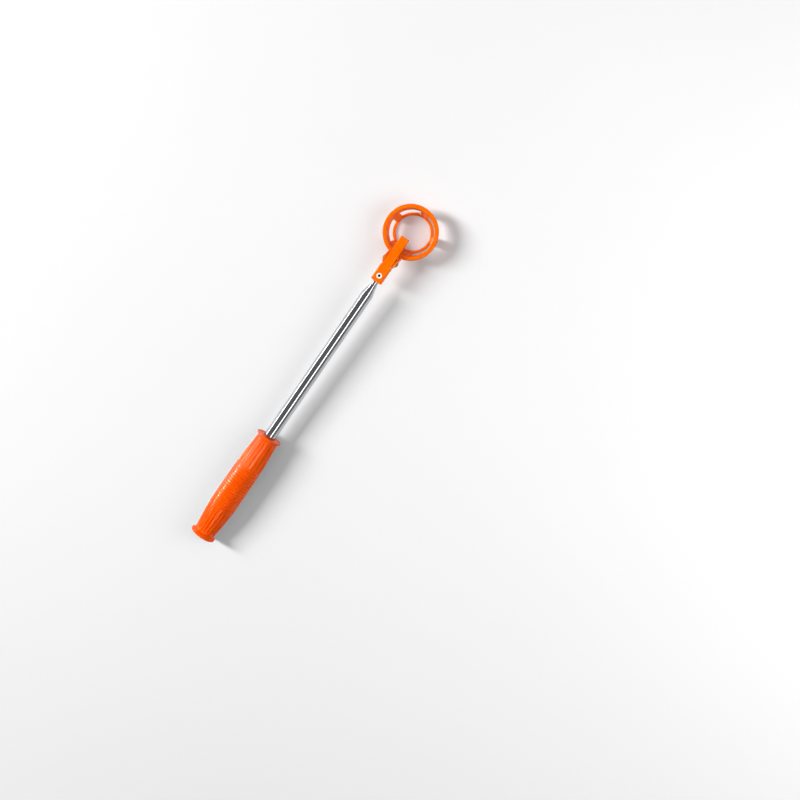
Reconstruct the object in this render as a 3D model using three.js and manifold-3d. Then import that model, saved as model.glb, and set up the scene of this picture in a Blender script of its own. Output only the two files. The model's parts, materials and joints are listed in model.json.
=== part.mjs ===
// Telescopic golf ball retriever: a moulded grip, eight nested stainless tubes, and a head with a
// fixed arm and a spring-closed scoop. Stored collapsed, lying on its scoop and its rear flange.
// Millimetres, +Z up, +X from the grip to the head. The origin is at the bottom centre of the box.

import * as THREE from 'three';
import { mergeVertices } from 'three/addons/utils/BufferGeometryUtils.js';
import Module from 'manifold-3d';

const wasm = await Module();
wasm.setup();

// ---- driving dimensions: pole ----------------------------------------------------------------
// Places along the pole are distances from the butt face, the flat rear end of the grip.
const SECTION_COUNT = 8;
const OUTER_TUBE_DIAMETER = 14;
const DIAMETER_STEP = 1;
const TUBE_WALL = 0.25;
const TUBE_BASE = 80.2; // rear end of the fixed outer tube, inside the grip
const SLIDING_BASE = 82.5; // rear ends of the sliding tubes when collapsed
const FIRST_MOUTH = 339; // front end of the outer tube
const MOUTH_STEP = 2.05; // how far each tube stands out of the one around it
const LIP_LENGTH = 1.6; // swaged lip at each mouth
const LIP_CLEARANCE = 0.08;
const CRIMP_SETBACK = 10.5; // rolled crimp behind each mouth, which stops the sleeve
const CRIMP_HALF_WIDTH = 0.6;
const CRIMP_DEPTH = 0.12;
const SLEEVE_SETBACK = 1;
const SLEEVE_LENGTH = 14;
const SLEEVE_INNER_GAP = 0.08;
const SLEEVE_WALL = 0.12;
const TUBE_SIDES = 24;

// ---- driving dimensions: grip ----------------------------------------------------------------
const GRIP_FRONT = 140.8;
const GRIP_REAR = 0.5;
const REAR_FLANGE_RADIUS = 15.2;
const REAR_FLANGE_EDGE = 1.6; // where the rounded rear edge reaches the full radius
const REAR_FLANGE_FRONT = 3.6;
const FRONT_FLANGE_RADIUS = 15.5;
const FRONT_FLANGE_THICKNESS = 2.6;
const FLANGE_CHAMFER = 0.9;
const BARREL_RADIUS = 15.6;
// [along, radius] of the two tapered stretches, from the rear to the front
const REAR_TAPER = [[6, 12.5], [10, 12.6], [19, 13.7], [28, 14.5], [38, 15.1]];
const FRONT_TAPER = [[101, 15.1], [108, 14.9], [117, 14.1], [127, 13.4], [134, 12.9]];
const GROOVE_COUNT = 17;
const GROOVE_PITCH = 3.44;
const GROOVE_DEPTH = 1;
const GROOVES_START = 40;
const CAP_SEAT_RADIUS = 11.8;
const CAP_SEAT_DEPTH = 3;
const CAP_CLEARANCE = 0.2;
const CAP_CHAMFER = 0.6;
const CAP_PLUG_END = 13;
const CAP_PLUG_WALL = 1.8;
const REAR_BORE_RADIUS = 9.7;
const REAR_BORE_END = 68;
const TUBE_STOP_RADIUS = 5;
const TUBE_BORE_RADIUS = 7.15;
const TUBE_SEAT = 77.6;
const GRIP_SIDES = 32;

// ---- driving dimensions: head ----------------------------------------------------------------
const RING_CENTRE = 422.6; // centre of the scoop's rim, along the pole
const PIN_TO_RING_CENTRE = 39;
const PIN_BELOW_AXIS = 1.5;
const PIN_ABOVE_RIM = 1;
const PIN_RADIUS = 1.5;
const PIN_HOLE_RADIUS = 1.68;
const PIN_HEAD_RADIUS = 3;
const PIN_HEAD_THICKNESS = 1.2;
const RIM_RADIUS = 31.8;
const RIM_WIDTH = 4.5;
const RIM_THICKNESS = 3.4;
const WALL_BOTTOM_RADIUS = 25.6; // inside, at the lower edge of the sloped wall
const WALL_DEPTH = 12.5;
const WALL_THICKNESS = 1.9;
const HOOP_OUTER_RADIUS = 23.2;
const HOOP_INNER_RADIUS = 20;
const HOOP_HEIGHT = 3.2;
const SCOOP_DEPTH = 24.5;
const RIB_WIDTH = 9.7;
const RIB_TURNS = [0, 78.5, -78.5, 157, -157, 180]; // degrees from the far end; the last three join into one
const CHEEK_INSIDE = 6;
const CHEEK_OUTSIDE = 8.5;
const CHEEK_RADIUS = 6.8;
const CHEEK_HALF_OPENING = 1.13; // half the angle that the round end leaves open towards the rim
const CHEEK_ROOT = 3.4; // how far the cheeks reach under the rim
const CHEEK_FOOT_DEPTH = 9;
const ARM_WIDTH = 11;
const ARM_TIP_SHORT_OF_CENTRE = 8;
const ARM_TOP = 5.2; // above the pole's axis
const ARM_TIP_TOP = 4.4;
const ARM_TIP_THICKNESS = 5;
const ARM_ABOVE_RIM = 0.5;
const ARM_BARREL_RADIUS = 5.8;
const ARM_BARREL_START = -2.4; // angle at which the round end under the pin begins
const ARM_IN_STEM = 1;
const ARM_TIP_SLOPE = 12; // length of the slight slope down to the tip
const STEM_WIDTH = 13.8;
const STEM_HEIGHT = 10.4;
const STEM_CORNER = 2.6;
const STEM_REAR = 355.9;
const STEM_FRONT_BEHIND_PIN = 7.5;
const SOCKET_RADIUS = 3.7;
const SOCKET_DEPTH = 14.5;
const RIVET_BEHIND_PIN = 20.1;
const RIVET_HEAD_RADIUS = 3.5;
const RIVET_HEAD_THICKNESS = 0.7;
const RIVET_RADIUS = 1.85;
const RIVET_BORE_RADIUS = 1.4;
const RIVET_HOLE_RADIUS = 2.1;
const POCKET_HALF_WIDTH = 3.1;
const POCKET_REAR = 3.8;
const POCKET_FRONT = 6;
const POCKET_ROOF = 3.2;
const SPRING_WIRE_RADIUS = 0.45;
const SPRING_COIL_RADIUS = 2.6;
const SPRING_TURNS = 4;
const SPRING_PITCH = 1.15;
const SPRING_UPPER_LEG = 4.6;
const SPRING_LOWER_LEG = 10.2;
const SPRING_LEG_SLOPE = 0.34; // of the lower leg, in radians
const SEAT_GAP = 0.3; // between faces that touch on the real object
const HEAD_SIDES = 48;
const SMALL_SIDES = 24;

// ---- derived values --------------------------------------------------------------------------
const PIN_X = RING_CENTRE - PIN_TO_RING_CENTRE;
const RIVET_X = PIN_X - RIVET_BEHIND_PIN;
const ARM_TIP = RING_CENTRE - ARM_TIP_SHORT_OF_CENTRE;
const TIP_TUBE_END = STEM_REAR + SOCKET_DEPTH - SEAT_GAP;

// The pole rises towards the head, so that the hoop lies flat on the ground while the rear flange
// touches it too: flangeHeight * cos(pitch) + reach * sin(pitch) = pinHeight.
const flangeHeight = REAR_FLANGE_RADIUS * Math.cos(Math.PI / GRIP_SIDES) - PIN_BELOW_AXIS;
const reach = PIN_X - REAR_FLANGE_EDGE;
const pinHeight = SCOOP_DEPTH + PIN_ABOVE_RIM;
const PITCH = Math.asin(pinHeight / Math.hypot(flangeHeight, reach)) - Math.atan2(flangeHeight, reach);

const tubeRadius = (section) => (OUTER_TUBE_DIAMETER - (section - 1) * DIAMETER_STEP) / 2;
const mouthOf = (section) => FIRST_MOUTH + (section - 1) * MOUTH_STEP;

// ---- materials -------------------------------------------------------------------------------
const material = (color, roughness, metalness) =>
  new THREE.MeshStandardMaterial({ color, roughness, metalness });

const orangeGrip = material(0xff6a0a, 0.4, 0);
const orangePlastic = material(0xff6400, 0.25, 0);
const stainless = material(0xc9cbd0, 0.22, 1);
const bronze = material(0xb08a4e, 0.35, 1);
const springSteel = material(0x9a9da2, 0.3, 1);
const zincPlate = material(0xd2d3d5, 0.3, 1);
const blackRubber = material(0x1c1c1d, 0.75, 0);

// ---- shape helpers ---------------------------------------------------------------------------
// Turns an [along, radius] outline about the X axis, with a flat side facing down.
function latheAlongX(outline, sides) {
  const points = outline.map(([along, radius]) => new THREE.Vector2(radius, along));
  const geometry = new THREE.LatheGeometry(points, sides, Math.PI / sides);
  return geometry.rotateZ(-Math.PI / 2);
}

// Turns a [radius, height] outline about the Z axis.
function latheAboutZ(outline, sides) {
  const points = outline.map(([radius, height]) => new THREE.Vector2(radius, height));
  return new THREE.LatheGeometry(points, sides, Math.PI / sides).rotateX(Math.PI / 2);
}

const closed = (outline) => [...outline, outline[0]];

function toSolid(geometry) {
  geometry.deleteAttribute('normal');
  geometry.deleteAttribute('uv');
  const merged = mergeVertices(geometry, 1e-4);
  return new wasm.Manifold(new wasm.Mesh({
    numProp: 3,
    vertProperties: new Float32Array(merged.attributes.position.array),
    triVerts: new Uint32Array(merged.index.array),
  }));
}

function toGeometry(solid) {
  const mesh = solid.getMesh();
  const geometry = new THREE.BufferGeometry();
  geometry.setAttribute('position', new THREE.BufferAttribute(mesh.vertProperties, 3));
  geometry.setIndex(new THREE.BufferAttribute(mesh.triVerts, 1));
  geometry.computeVertexNormals();
  return geometry;
}

// A bar along Y through (x, z), from one y to another.
function rodAlongY(x, z, radius, fromY, toY) {
  const rod = new THREE.CylinderGeometry(radius, radius, toY - fromY, SMALL_SIDES);
  return rod.translate(x, (fromY + toY) / 2, z);
}

// A side view in X and Z, made solid from one y to another.
function slabAcrossY(shape, fromY, toY) {
  const slab = new THREE.ExtrudeGeometry(shape, {
    depth: toY - fromY,
    bevelEnabled: false,
    curveSegments: SMALL_SIDES / 2,
  });
  return slab.rotateX(Math.PI / 2).translate(0, toY, 0);
}

function addMesh(group, name, geometry, finish) {
  const mesh = new THREE.Mesh(geometry, finish);
  mesh.name = name;
  group.add(mesh);
  return mesh;
}

// ---- grip ------------------------------------------------------------------------------------
function gripGeometry() {
  const groovesEnd = GROOVES_START + GROOVE_COUNT * GROOVE_PITCH;
  const outline = [
    [GRIP_REAR, CAP_SEAT_RADIUS],
    [GRIP_REAR, REAR_FLANGE_RADIUS - FLANGE_CHAMFER],
    [REAR_FLANGE_EDGE, REAR_FLANGE_RADIUS],
    [REAR_FLANGE_FRONT, REAR_FLANGE_RADIUS],
    ...REAR_TAPER,
  ];
  for (let groove = 0; groove < GROOVE_COUNT; groove += 1) {
    const start = GROOVES_START + groove * GROOVE_PITCH;
    outline.push([start, BARREL_RADIUS]);
    outline.push([start + GROOVE_PITCH / 2, BARREL_RADIUS - GROOVE_DEPTH]);
  }
  outline.push(
    [groovesEnd, BARREL_RADIUS],
    ...FRONT_TAPER,
    [GRIP_FRONT - FRONT_FLANGE_THICKNESS, FRONT_FLANGE_RADIUS],
    [GRIP_FRONT - FLANGE_CHAMFER, FRONT_FLANGE_RADIUS],
    [GRIP_FRONT, FRONT_FLANGE_RADIUS - FLANGE_CHAMFER],
    [GRIP_FRONT, TUBE_BORE_RADIUS],
    [TUBE_SEAT, TUBE_BORE_RADIUS],
    [TUBE_SEAT, TUBE_STOP_RADIUS],
    [REAR_BORE_END, TUBE_STOP_RADIUS],
    [REAR_BORE_END, REAR_BORE_RADIUS],
    [CAP_SEAT_DEPTH + GRIP_REAR, REAR_BORE_RADIUS],
    [CAP_SEAT_DEPTH + GRIP_REAR, CAP_SEAT_RADIUS],
  );
  return latheAlongX(closed(outline), GRIP_SIDES);
}

// A flat disc in the rear seat, with a hollow plug that holds it in the bore.
function endCapGeometry() {
  const plugRadius = REAR_BORE_RADIUS - CAP_CLEARANCE;
  const discRadius = CAP_SEAT_RADIUS - CAP_CLEARANCE;
  const discBack = CAP_SEAT_DEPTH + GRIP_REAR - SEAT_GAP;
  return latheAlongX([
    [0, 0],
    [0, discRadius - CAP_CHAMFER],
    [CAP_CHAMFER, discRadius],
    [discBack, discRadius],
    [discBack, plugRadius],
    [CAP_PLUG_END - CAP_CHAMFER, plugRadius],
    [CAP_PLUG_END, plugRadius - CAP_CHAMFER],
    [CAP_PLUG_END, plugRadius - CAP_PLUG_WALL],
    [discBack, plugRadius - CAP_PLUG_WALL],
    [discBack, 0],
  ], GRIP_SIDES);
}

// A bumper in the rear of the outer tube, which the sliding tubes land on.
function bottomStopGeometry() {
  const flangeRadius = tubeRadius(1) - 0.1;
  const plugRadius = tubeRadius(1) - TUBE_WALL - 0.15;
  return latheAlongX([
    [TUBE_SEAT + SEAT_GAP, 0],
    [TUBE_SEAT + SEAT_GAP, flangeRadius],
    [TUBE_BASE - SEAT_GAP, flangeRadius],
    [TUBE_BASE - SEAT_GAP, plugRadius],
    [SLIDING_BASE - SEAT_GAP, plugRadius],
    [SLIDING_BASE - SEAT_GAP, 0],
  ], TUBE_SIDES);
}

// ---- pole ------------------------------------------------------------------------------------
// A thin tube with a swaged lip at its mouth and a rolled crimp just behind it.
function sectionGeometry(section) {
  const outside = tubeRadius(section);
  const inside = outside - TUBE_WALL;
  const base = section === 1 ? TUBE_BASE : SLIDING_BASE;
  const mouth = mouthOf(section);
  const lipInside = tubeRadius(section + 1) + LIP_CLEARANCE;
  const crimp = mouth - CRIMP_SETBACK;
  return latheAlongX(closed([
    [base, inside],
    [base, outside],
    [crimp - CRIMP_HALF_WIDTH, outside],
    [crimp, outside - CRIMP_DEPTH],
    [crimp + CRIMP_HALF_WIDTH, outside],
    [mouth - LIP_LENGTH, outside],
    [mouth, lipInside + TUBE_WALL],
    [mouth, lipInside],
    [mouth - LIP_LENGTH, inside],
    [crimp + CRIMP_HALF_WIDTH, inside],
    [crimp, inside - CRIMP_DEPTH],
    [crimp - CRIMP_HALF_WIDTH, inside],
  ]), TUBE_SIDES);
}

// The innermost tube ends in the head's socket, with a cross hole for the rivet.
function tipSectionGeometry() {
  const outside = tubeRadius(SECTION_COUNT);
  const inside = outside - TUBE_WALL;
  const tube = toSolid(latheAlongX(closed([
    [SLIDING_BASE, inside],
    [SLIDING_BASE, outside],
    [TIP_TUBE_END, outside],
    [TIP_TUBE_END, inside],
  ]), TUBE_SIDES));
  return toGeometry(tube.subtract(rivetHole()));
}

// A spring sleeve round the rear end of a sliding tube, split along one of the tube's flats.
function sleeveGeometry(section) {
  const inside = tubeRadius(section) + SLEEVE_INNER_GAP;
  const outside = inside + SLEEVE_WALL;
  const arc = Array.from({ length: TUBE_SIDES }, (_, i) => Math.PI * (2 * i + 1) / TUBE_SIDES);
  const onCircle = (radius) => (angle) =>
    new THREE.Vector2(radius * Math.cos(angle), radius * Math.sin(angle));
  const outer = arc.map(onCircle(outside));
  const inner = arc.map(onCircle(inside)).reverse();
  const shape = new THREE.Shape([...outer, ...inner]);
  const sleeve = new THREE.ExtrudeGeometry(shape, { depth: SLEEVE_LENGTH, bevelEnabled: false });
  return sleeve.rotateY(Math.PI / 2).translate(SLIDING_BASE + SLEEVE_SETBACK, 0, 0);
}

// ---- head: arm, rivet, pin and spring, all in the pole's frame ---------------------------------
function rivetHole() {
  const radius = RIVET_HOLE_RADIUS;
  const hole = new THREE.CylinderGeometry(radius, radius, 4 * STEM_HEIGHT, SMALL_SIDES);
  return toSolid(hole.rotateX(Math.PI / 2).translate(RIVET_X, 0, 0));
}

// The rounded block that the tip of the pole goes into.
function stemSolid() {
  const halfWidth = STEM_WIDTH / 2;
  const bottom = ARM_TOP - STEM_HEIGHT;
  const corner = STEM_CORNER;
  const section = new THREE.Shape();
  section.moveTo(-halfWidth + corner, bottom);
  section.lineTo(halfWidth - corner, bottom);
  section.absarc(halfWidth - corner, bottom + corner, corner, -Math.PI / 2, 0);
  section.lineTo(halfWidth, ARM_TOP - corner);
  section.absarc(halfWidth - corner, ARM_TOP - corner, corner, 0, Math.PI / 2);
  section.lineTo(-halfWidth + corner, ARM_TOP);
  section.absarc(-halfWidth + corner, ARM_TOP - corner, corner, Math.PI / 2, Math.PI);
  section.lineTo(-halfWidth, bottom + corner);
  section.absarc(-halfWidth + corner, bottom + corner, corner, Math.PI, 1.5 * Math.PI);
  const length = PIN_X - STEM_FRONT_BEHIND_PIN - STEM_REAR;
  const stem = new THREE.ExtrudeGeometry(section, {
    depth: length,
    bevelEnabled: false,
    curveSegments: 4,
  });
  stem.rotateX(Math.PI / 2).rotateZ(Math.PI / 2);
  return toSolid(stem.translate(STEM_REAR, 0, 0));
}

// The arm's side view: rounded about the pin, then a bar over the rim to a square tip.
function armShape() {
  const nearRim = PIN_X + PIN_TO_RING_CENTRE - RIM_RADIUS;
  const underside = -PIN_BELOW_AXIS - PIN_ABOVE_RIM + ARM_ABOVE_RIM;
  const rise = underside + PIN_BELOW_AXIS;
  const barrelFront = Math.asin(rise / ARM_BARREL_RADIUS);
  const rear = PIN_X - STEM_FRONT_BEHIND_PIN - ARM_IN_STEM;
  const shape = new THREE.Shape();
  shape.moveTo(rear, ARM_TOP);
  shape.lineTo(rear, ARM_TOP - STEM_HEIGHT + SEAT_GAP);
  shape.absarc(PIN_X, -PIN_BELOW_AXIS, ARM_BARREL_RADIUS, ARM_BARREL_START, barrelFront);
  shape.lineTo(nearRim, underside);
  shape.lineTo(ARM_TIP, ARM_TIP_TOP - ARM_TIP_THICKNESS);
  shape.lineTo(ARM_TIP, ARM_TIP_TOP);
  shape.lineTo(ARM_TIP - ARM_TIP_SLOPE, ARM_TOP);
  return shape;
}

function springPocket() {
  const length = POCKET_FRONT + POCKET_REAR;
  const height = POCKET_ROOF + 12;
  const pocket = new THREE.BoxGeometry(length, 2 * POCKET_HALF_WIDTH, height);
  pocket.translate(PIN_X - POCKET_REAR + length / 2, 0, POCKET_ROOF - height / 2);
  return toSolid(pocket);
}

function headArmGeometry() {
  const socket = new THREE.CylinderGeometry(SOCKET_RADIUS, SOCKET_RADIUS, 2 * SOCKET_DEPTH, TUBE_SIDES);
  socket.rotateZ(Math.PI / 2).translate(STEM_REAR, 0, 0);
  const solid = stemSolid()
    .add(toSolid(slabAcrossY(armShape(), -ARM_WIDTH / 2, ARM_WIDTH / 2)))
    .subtract(toSolid(socket))
    .subtract(rivetHole())
    .subtract(springPocket())
    .subtract(toSolid(rodAlongY(PIN_X, -PIN_BELOW_AXIS, PIN_HOLE_RADIUS, -ARM_WIDTH, ARM_WIDTH)));
  return toGeometry(solid);
}

// A hollow eyelet through the stem and the tip tube, flared at both ends.
function tipRivetGeometry() {
  const top = ARM_TOP + SEAT_GAP;
  const bottom = ARM_TOP - STEM_HEIGHT - SEAT_GAP;
  const rivet = latheAboutZ(closed([
    [RIVET_BORE_RADIUS, bottom - RIVET_HEAD_THICKNESS],
    [RIVET_HEAD_RADIUS - 0.4, bottom - RIVET_HEAD_THICKNESS],
    [RIVET_HEAD_RADIUS, bottom],
    [RIVET_RADIUS, bottom],
    [RIVET_RADIUS, top],
    [RIVET_HEAD_RADIUS, top],
    [RIVET_HEAD_RADIUS - 0.4, top + RIVET_HEAD_THICKNESS],
    [RIVET_BORE_RADIUS, top + RIVET_HEAD_THICKNESS],
  ]), SMALL_SIDES);
  return rivet.translate(RIVET_X, 0, 0);
}

function hingePinGeometry() {
  const headInside = CHEEK_OUTSIDE + SEAT_GAP;
  const headOutside = headInside + PIN_HEAD_THICKNESS;
  const domeRadius = PIN_HEAD_RADIUS - 0.8;
  const outline = [
    [0, -headOutside],
    [domeRadius, -headOutside],
    [PIN_HEAD_RADIUS, -headInside - 0.3],
    [PIN_HEAD_RADIUS, -headInside],
    [PIN_RADIUS, -headInside],
    [PIN_RADIUS, headInside],
    [PIN_HEAD_RADIUS, headInside],
    [PIN_HEAD_RADIUS, headInside + 0.3],
    [domeRadius, headOutside],
    [0, headOutside],
  ].map(([radius, along]) => new THREE.Vector2(radius, along));
  const pin = new THREE.LatheGeometry(outline, SMALL_SIDES);
  return pin.translate(PIN_X, 0, -PIN_BELOW_AXIS);
}

// The wire's centre line: one leg under the arm's roof, the coil round the pin, one leg under the rim.
class SpringPath extends THREE.Curve {
  getPoint(t, target = new THREE.Vector3()) {
    const swept = 2 * Math.PI * SPRING_TURNS + Math.PI - SPRING_LEG_SLOPE;
    const coilLength = swept * SPRING_COIL_RADIUS;
    const length = SPRING_UPPER_LEG + coilLength + SPRING_LOWER_LEG;
    const along = t * length - SPRING_UPPER_LEG;
    const coiled = THREE.MathUtils.clamp(along, 0, coilLength);
    const angle = Math.PI / 2 + coiled / SPRING_COIL_RADIUS;
    const straight = along - coiled;
    const halfCoil = (SPRING_TURNS + 0.5) * SPRING_PITCH / 2;
    return target.set(
      PIN_X + SPRING_COIL_RADIUS * Math.cos(angle) - straight * Math.sin(angle),
      -halfCoil + 2 * halfCoil * coiled / coilLength,
      -PIN_BELOW_AXIS + SPRING_COIL_RADIUS * Math.sin(angle) + straight * Math.cos(angle),
    );
  }
}

function torsionSpringGeometry() {
  const sides = 6;
  const section = new THREE.Shape(Array.from({ length: sides }, (_, i) => {
    const angle = 2 * Math.PI * i / sides;
    return new THREE.Vector2(SPRING_WIRE_RADIUS * Math.cos(angle), SPRING_WIRE_RADIUS * Math.sin(angle));
  }));
  return new THREE.ExtrudeGeometry(section, {
    steps: 84,
    extrudePath: new SpringPath(),
    bevelEnabled: false,
  });
}

// ---- scoop, level with the ground; its own origin is the pin's axis ----------------------------
function scoopRing() {
  const rimInside = RIM_RADIUS - RIM_WIDTH;
  return toSolid(latheAboutZ(closed([
    [RIM_RADIUS, -0.8],
    [RIM_RADIUS - 0.7, 0],
    [rimInside + 0.5, 0],
    [rimInside, -0.6],
    [WALL_BOTTOM_RADIUS, -WALL_DEPTH],
    [WALL_BOTTOM_RADIUS + WALL_THICKNESS, -WALL_DEPTH],
    [rimInside + WALL_THICKNESS, -RIM_THICKNESS - 1.1],
    [RIM_RADIUS, -RIM_THICKNESS],
  ]), HEAD_SIDES));
}

function scoopHoop() {
  return toSolid(latheAboutZ(closed([
    [HOOP_INNER_RADIUS, -SCOOP_DEPTH],
    [HOOP_OUTER_RADIUS, -SCOOP_DEPTH],
    [HOOP_OUTER_RADIUS, -SCOOP_DEPTH + HOOP_HEIGHT - 0.8],
    [HOOP_OUTER_RADIUS - 0.8, -SCOOP_DEPTH + HOOP_HEIGHT],
    [HOOP_INNER_RADIUS + 0.6, -SCOOP_DEPTH + HOOP_HEIGHT],
    [HOOP_INNER_RADIUS, -SCOOP_DEPTH + HOOP_HEIGHT - 0.8],
  ]), HEAD_SIDES));
}

// A band that runs down from the sloped wall to the hoop.
function scoopRib(angle) {
  const side = new THREE.Shape();
  side.moveTo(WALL_BOTTOM_RADIUS + 0.4, -WALL_DEPTH + 1.4);
  side.lineTo(HOOP_INNER_RADIUS + 0.8, -SCOOP_DEPTH + HOOP_HEIGHT - 1);
  side.lineTo(HOOP_OUTER_RADIUS - 0.4, -SCOOP_DEPTH + 0.4);
  side.lineTo(WALL_BOTTOM_RADIUS + WALL_THICKNESS, -WALL_DEPTH + 1.4);
  return toSolid(slabAcrossY(side, -RIB_WIDTH / 2, RIB_WIDTH / 2).rotateZ(angle));
}

// A hinge cheek: rounded about the pin, and rooted in the rim and the sloped wall.
function scoopCheek(fromY, toY) {
  const side = new THREE.Shape();
  const rootX = -RIM_RADIUS + CHEEK_ROOT;
  const start = CHEEK_HALF_OPENING;
  side.moveTo(rootX, -0.2);
  side.absarc(-PIN_TO_RING_CENTRE, PIN_ABOVE_RIM, CHEEK_RADIUS, start, 2 * Math.PI - start);
  side.lineTo(rootX + 2.1, -CHEEK_FOOT_DEPTH);
  return toSolid(slabAcrossY(side, fromY, toY));
}

function scoopGeometry() {
  let solid = scoopRing().add(scoopHoop());
  for (const turn of RIB_TURNS) {
    solid = solid.add(scoopRib(turn * Math.PI / 180));
  }
  const clear = 2 * ARM_WIDTH;
  const hole = rodAlongY(-PIN_TO_RING_CENTRE, PIN_ABOVE_RIM, PIN_HOLE_RADIUS, -clear, clear);
  solid = solid
    .add(scoopCheek(CHEEK_INSIDE, CHEEK_OUTSIDE))
    .add(scoopCheek(-CHEEK_OUTSIDE, -CHEEK_INSIDE))
    .subtract(toSolid(hole));
  return toGeometry(solid).translate(PIN_TO_RING_CENTRE, 0, -PIN_ABOVE_RIM);
}

// ---- assembly --------------------------------------------------------------------------------
const retriever = new THREE.Group();
const pole = new THREE.Group();
pole.rotation.y = -PITCH;
retriever.add(pole);

addMesh(pole, 'grip', gripGeometry(), orangeGrip);
addMesh(pole, 'end_cap', endCapGeometry(), orangeGrip);
addMesh(pole, 'bottom_stop', bottomStopGeometry(), blackRubber);
for (let section = 1; section < SECTION_COUNT; section += 1) {
  addMesh(pole, `pole_section_${section}`, sectionGeometry(section), stainless);
}
addMesh(pole, `pole_section_${SECTION_COUNT}`, tipSectionGeometry(), stainless);
for (let section = 2; section <= SECTION_COUNT; section += 1) {
  addMesh(pole, `friction_sleeve_${section}`, sleeveGeometry(section), bronze);
}
addMesh(pole, 'head_arm', headArmGeometry(), orangePlastic);
addMesh(pole, 'tip_rivet', tipRivetGeometry(), zincPlate);
addMesh(pole, 'hinge_pin', hingePinGeometry(), springSteel);
addMesh(pole, 'torsion_spring', torsionSpringGeometry(), springSteel);

pole.updateMatrix();
const scoop = addMesh(retriever, 'scoop', scoopGeometry(), orangePlastic);
scoop.position.set(PIN_X, 0, -PIN_BELOW_AXIS).applyMatrix4(pole.matrix);

const box = new THREE.Box3().setFromObject(retriever, true);
retriever.position.set(-(box.min.x + box.max.x) / 2, 0, -box.min.z);

export default retriever;
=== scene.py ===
"""Looks for the telescopic golf ball retriever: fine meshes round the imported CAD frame.

The pole's pieces are modelled in the pole's own frame, in millimetres from the butt face, and the
scoop in a level frame at the centre of its rim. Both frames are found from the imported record.
"""

import json
import math

import bmesh
import bpy
from mathutils import Matrix, Vector


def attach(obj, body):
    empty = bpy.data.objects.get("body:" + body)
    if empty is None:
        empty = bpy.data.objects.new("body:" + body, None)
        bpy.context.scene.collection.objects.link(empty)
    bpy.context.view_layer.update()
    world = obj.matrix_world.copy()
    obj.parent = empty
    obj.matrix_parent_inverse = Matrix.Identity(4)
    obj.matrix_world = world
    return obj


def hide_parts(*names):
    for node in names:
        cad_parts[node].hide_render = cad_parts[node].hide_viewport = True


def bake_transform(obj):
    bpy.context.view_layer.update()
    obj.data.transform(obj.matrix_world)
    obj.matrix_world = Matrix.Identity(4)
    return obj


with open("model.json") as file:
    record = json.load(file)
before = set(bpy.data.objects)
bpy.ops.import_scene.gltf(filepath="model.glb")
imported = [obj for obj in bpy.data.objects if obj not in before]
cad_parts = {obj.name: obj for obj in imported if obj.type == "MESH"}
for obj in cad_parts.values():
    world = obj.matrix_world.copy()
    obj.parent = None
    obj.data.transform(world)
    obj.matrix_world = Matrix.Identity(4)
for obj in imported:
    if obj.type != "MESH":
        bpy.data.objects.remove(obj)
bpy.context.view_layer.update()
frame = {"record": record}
RECORD = frame["record"]
JOINTS = {joint["name"]: joint for joint in RECORD["behaviour"]["joints"]}
MOUNTS = {mount["name"]: mount for mount in RECORD["mounts"]}

# ---- frames ----------------------------------------------------------------------------------
MM = 0.001
AXIS = Vector(JOINTS["section_2_slide"]["axis"])
PITCH = math.atan2(AXIS.z, AXIS.x)
BUTT = Vector(MOUNTS["butt_face"]["pos_m"])
PIN = Vector(JOINTS["scoop_hinge"]["pos_m"])
POLE = Matrix.Translation(BUTT) @ Matrix.Rotation(-PITCH, 4, "Y") @ Matrix.Scale(MM, 4)
PIN_TO_RING = 39.0
PIN_ABOVE_RIM = 1.0
SCOOP = Matrix.Translation(PIN + Vector((PIN_TO_RING, 0, -PIN_ABOVE_RIM)) * MM) @ Matrix.Scale(MM, 4)
PIN_IN_POLE = POLE.inverted() @ PIN

# ---- sizes in millimetres --------------------------------------------------------------------
SECTIONS = 8
TUBE_WALL = 0.25
TUBE_BASE = 80.2
SLIDING_BASE = 82.5
FIRST_MOUTH = 339.0
MOUTH_STEP = 2.05
LIP_LENGTH = 1.6
LIP_CLEARANCE = 0.08
CRIMP_SETBACK = 10.5
CRIMP_DEPTH = 0.16
CRIMP_HALF_WIDTH = 0.8
SLEEVE_LENGTH = 14.0
SLEEVE_WALL = 0.1
SLEEVE_BEAD = 0.03
SLEEVE_SLIT = 0.16  # half the slit, in radians
STEM_REAR = 355.9
SOCKET_DEPTH = 14.2
SOCKET_RADIUS = 3.7
RIVET_HOLE = 2.1
PIN_HOLE = 1.68
GRIP_FRONT = 140.8
GRIP_REAR = 0.5
REAR_FLANGE = 15.2
FRONT_FLANGE = 15.5
BARREL = 15.6
# [along, radius] of the two tapered stretches, at the tops of their flutes
REAR_TAPER = [(6.2, 12.5), (10, 12.6), (19, 13.7), (28, 14.5), (39, 15.25)]
FRONT_TAPER = [(99.8, 15.2), (108, 14.9), (117, 14.1), (127, 13.4), (135.2, 12.8)]
RIB_COUNT = 17
RIB_PITCH = 3.43
RIBS_START = 40.2
RIB_DEPTH = 0.95
FLUTE_COUNT = 20
FLUTE_DEPTH = 1.0
RIM_RADIUS = 31.8
RIM_WIDTH = 4.5
WALL_BOTTOM = 25.6
WALL_DEPTH = 12.5
WALL_THICKNESS = 1.9
HOOP_OUTER = 23.2
HOOP_INNER = 20.0
HOOP_HEIGHT = 3.2
SCOOP_DEPTH = 24.5
SCOOP_RIB_WIDTH = 9.7
SCOOP_RIB_TURNS = (0, 78.5, -78.5, 157, -157, 180)
CHEEK_INSIDE = 6.05
CHEEK_OUTSIDE = 8.5
CHEEK_RADIUS = 6.8
ARM_WIDTH = 11.4
ARM_TIP_WIDTH = 9.6
ARM_TOP = 5.2
STEM_WIDTH = 13.8
STEM_HEIGHT = 10.4
RIVET_BEHIND_PIN = 20.1
RECESS_RADIUS = 1.6
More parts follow.
